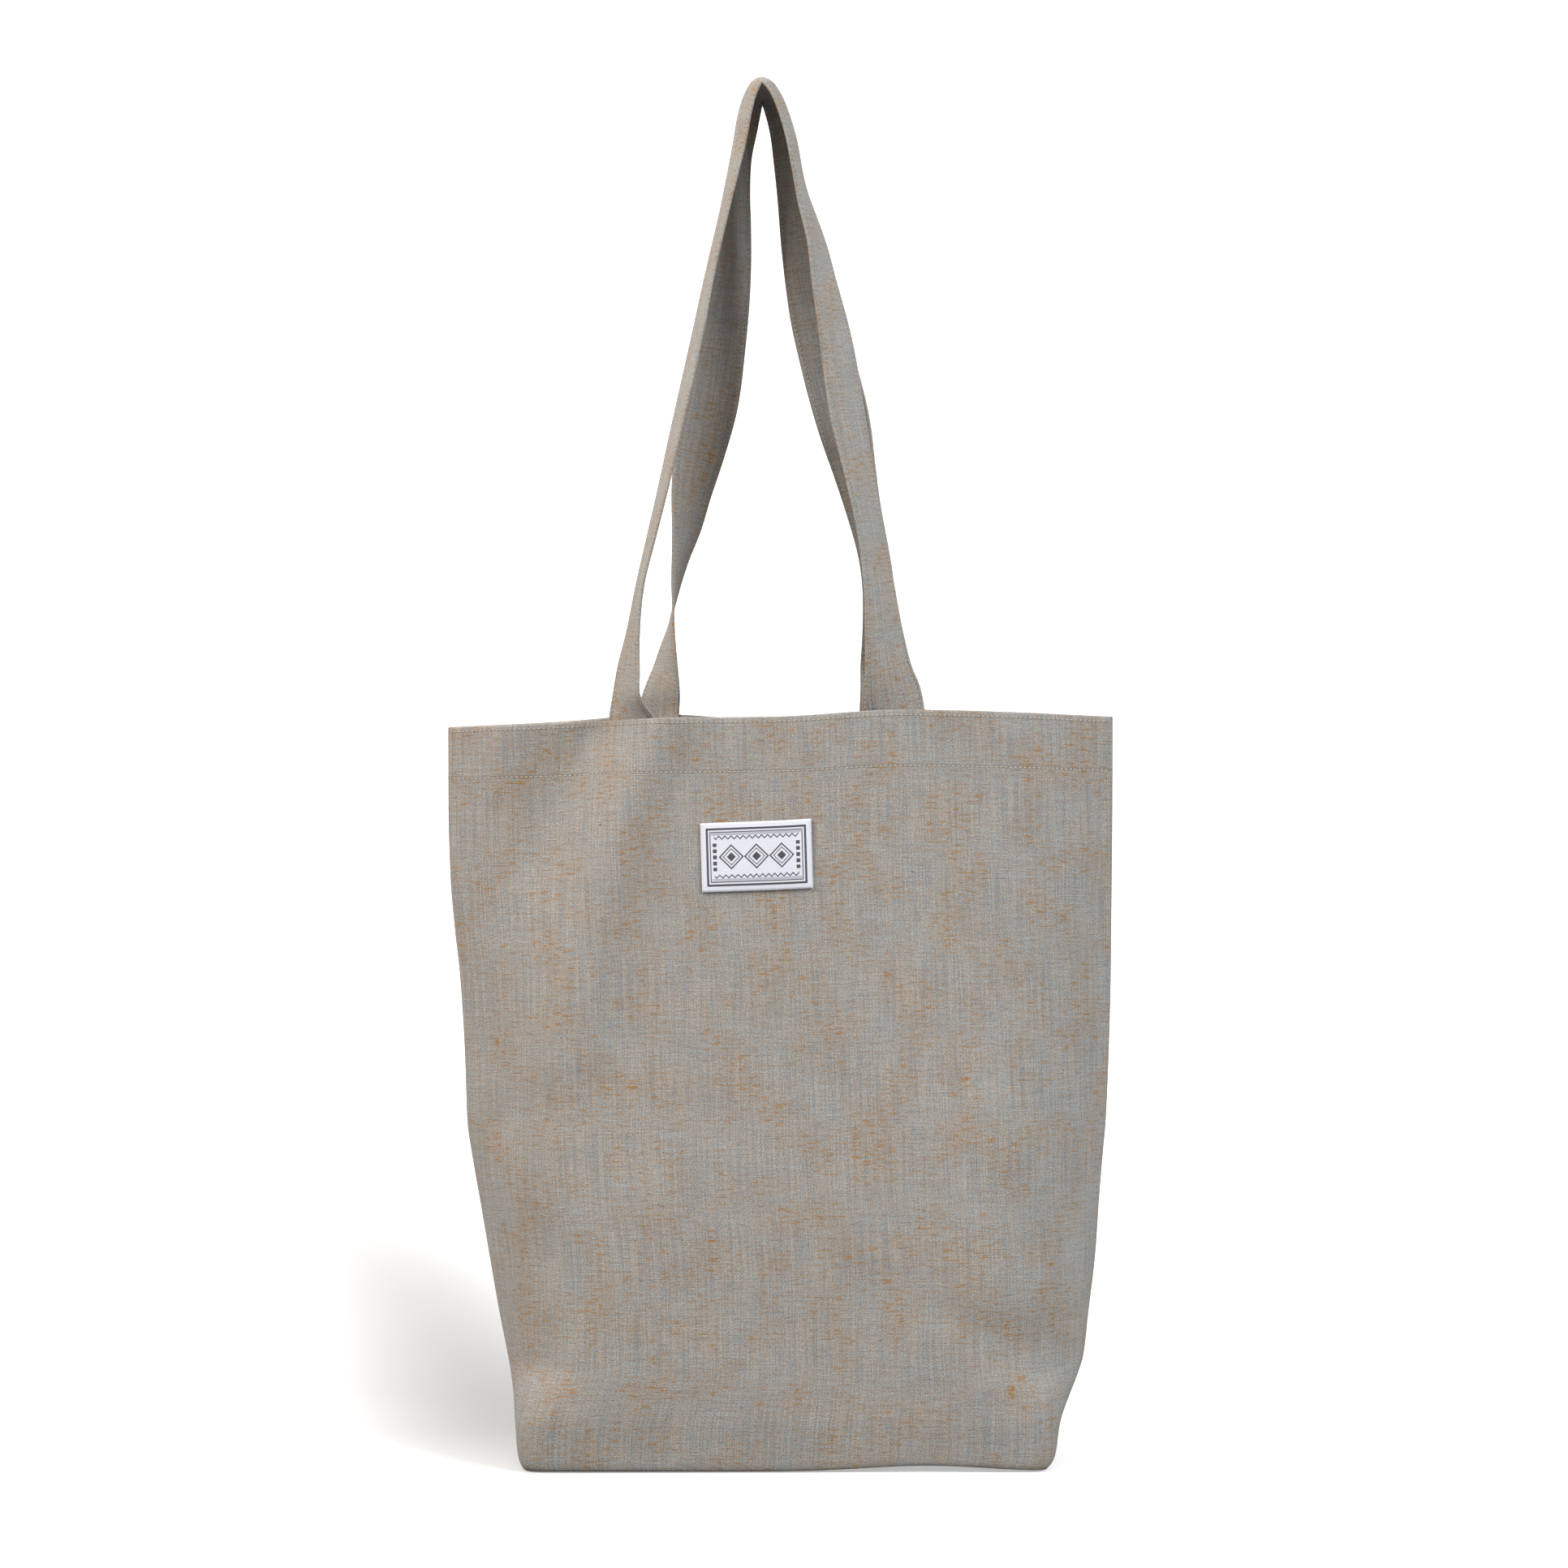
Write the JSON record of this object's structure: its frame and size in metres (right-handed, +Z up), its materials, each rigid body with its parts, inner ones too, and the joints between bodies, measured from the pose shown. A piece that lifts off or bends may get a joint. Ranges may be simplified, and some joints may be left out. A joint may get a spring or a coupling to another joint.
{
  "type": "tote bag",
  "caption": "Slim cloth tote bag with a boxed base and two long flat handles, shown empty and hanging by its handles.",
  "frame": {"origin": "the point that the bag hangs by, where both handles pass over what holds them", "axes": "+Z up along the hanging bag, +X to the viewer's right across the bag, -Y the front with the label"},
  "size_m": [0.3439, 0.1001, 0.7133],
  "materials": {
    "bag_cloth": "matte slub chambray, blue-grey and beige yarns",
    "hem_cloth": "matte slub chambray, turned in and stitched",
    "handle_cloth": "matte slub chambray, folded and edge stitched",
    "woven_label": "white damask weave with a slight sheen"
  },
  "bodies": {
    "root": {"body": "bag_cloth", "rim_hem": "hem_cloth", "front_handle": "handle_cloth", "back_handle": "handle_cloth", "label": "woven_label"}
  },
  "joints": []
}
